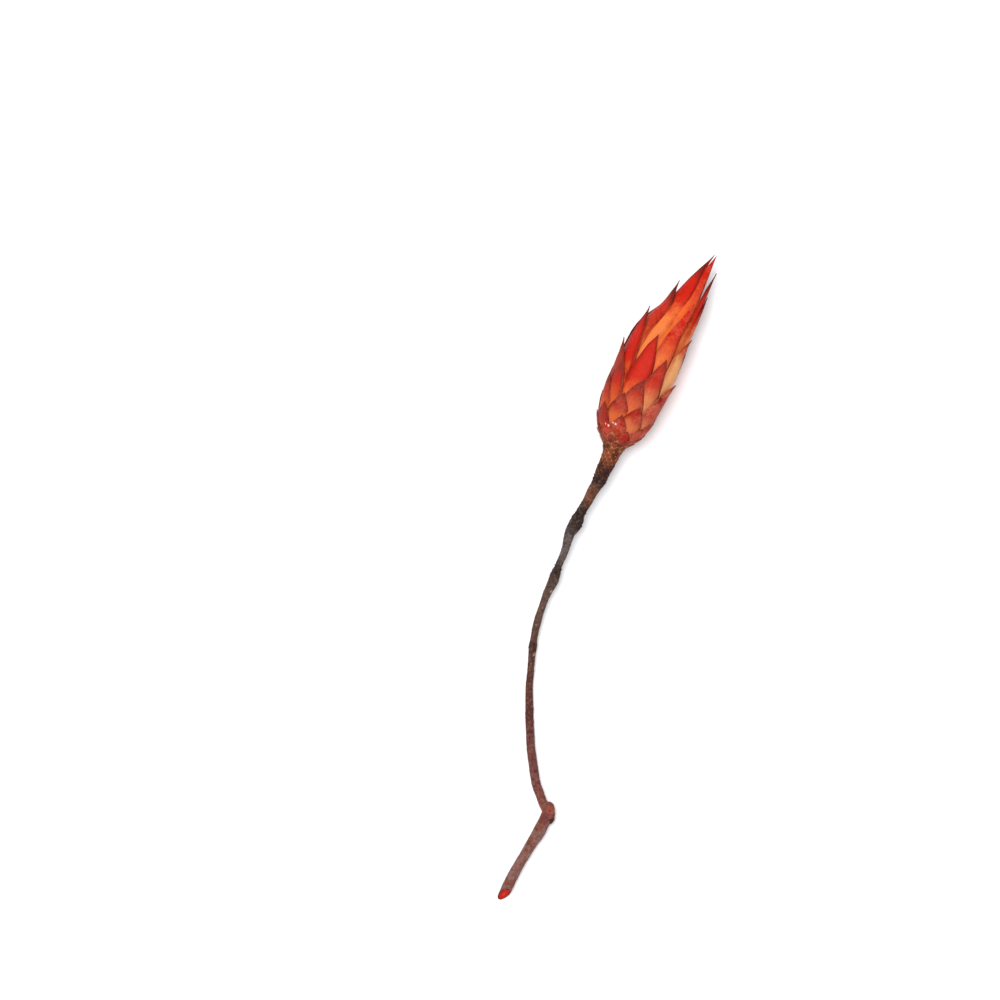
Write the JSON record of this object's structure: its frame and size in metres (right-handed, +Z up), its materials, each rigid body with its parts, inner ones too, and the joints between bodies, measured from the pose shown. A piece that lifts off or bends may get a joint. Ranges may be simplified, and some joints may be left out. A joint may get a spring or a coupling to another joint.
{
  "type": "dried sugarbush protea flower",
  "caption": "Dried, red-dyed sugarbush protea: a closed goblet of pointed overlapping bracts over its florets, on a scaly neck and a crooked woody twig, lying on its side.",
  "frame": {"origin": "the flat spot under the flower's belly, on the surface that it lies on", "axes": "+Z up from the surface; +Y along the flower's length, from the cut end of the old wood towards the beak; +X to the right of that, the side the beak leans to"},
  "size_m": [0.0988, 0.2915, 0.0296],
  "materials": {
    "bark": "dull grey-brown bark with rough dark rings of old leaf scars",
    "cut_wood": "sawn-off end grain, soaked in red dye",
    "neck_scale": "dull brown-orange scales with tan edges",
    "outer_bract": "leathery maroon to orange-red bract with dark tip, pale bloom and flecks of wax",
    "inner_bract": "leathery scarlet bract with orange-yellow foot, faint long ribs and a satin face",
    "floret": "fine silky hairs, pinkish straw"
  },
  "bodies": {
    "root": {"stem": "bark", "neck_scales": "neck_scale", "outer_bracts": "outer_bract", "inner_bracts": "inner_bract", "florets": "floret"}
  },
  "joints": []
}
